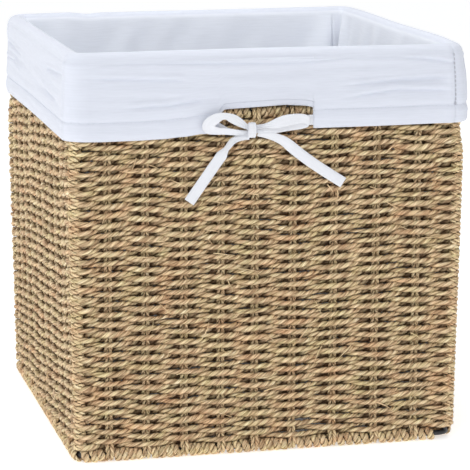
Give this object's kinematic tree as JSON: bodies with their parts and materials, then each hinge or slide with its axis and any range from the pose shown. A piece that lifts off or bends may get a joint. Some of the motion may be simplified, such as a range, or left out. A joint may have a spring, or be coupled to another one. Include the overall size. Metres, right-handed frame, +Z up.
{
  "type": "lined storage basket",
  "caption": "Square woven seagrass storage basket on a steel wire frame, with two hand holes and a lift-out white cotton liner folded over the rim and tied in a bow.",
  "frame": {"origin": "on the floor under the middle of the basket", "axes": "+Z up, -Y towards the front where the bow is tied, +X to the right seen from the front"},
  "size_m": [0.3178, 0.3215, 0.3175],
  "materials": {
    "frame_wire": "black coated steel wire, satin",
    "seagrass_wrap": "dry twisted seagrass cord wound tightly, matt",
    "seagrass_stake": "dry twisted seagrass cord laid double, matt",
    "seagrass_weft": "dry twisted seagrass rope, plain weave, matt",
    "liner_cotton": "washed white cotton, softly creased",
    "tie_tape": "white cotton tape"
  },
  "bodies": {
    "basket": {"top_rim_wire": "frame_wire", "bottom_rim_wire": "frame_wire", "hand_hole_wire_front": "frame_wire", "hand_hole_wire_back": "frame_wire", "corner_post_front_left": "frame_wire", "corner_post_front_right": "frame_wire", "corner_post_back_left": "frame_wire", "corner_post_back_right": "frame_wire", "top_rim_wrap": "seagrass_wrap", "bottom_rim_wrap": "seagrass_wrap", "hand_hole_wrap_front": "seagrass_wrap", "hand_hole_wrap_back": "seagrass_wrap", "corner_wrap_front_left": "seagrass_wrap", "corner_wrap_front_right": "seagrass_wrap", "corner_wrap_back_left": "seagrass_wrap", "corner_wrap_back_right": "seagrass_wrap", "stakes_front": "seagrass_stake", "weave_front": "seagrass_weft", "stakes_right": "seagrass_stake", "weave_right": "seagrass_weft", "stakes_back": "seagrass_stake", "weave_back": "seagrass_weft", "stakes_left": "seagrass_stake", "weave_left": "seagrass_weft", "base_stakes": "seagrass_stake", "base_weave": "seagrass_weft"},
    "liner": {"liner_front_panel": "liner_cotton", "liner_right_panel": "liner_cotton", "liner_back_panel": "liner_cotton", "liner_left_panel": "liner_cotton", "liner_base_panel": "liner_cotton", "drawstring_tape": "tie_tape", "tie_bow": "tie_tape", "tie_tail_left": "tie_tape", "tie_tail_right": "tie_tape"}
  },
  "joints": [
    {"name": "liner_lift", "type": "slide", "parent": "basket", "child": "liner", "axis": [0, 0, 1], "range_m": [0, 0.34]}
  ]
}
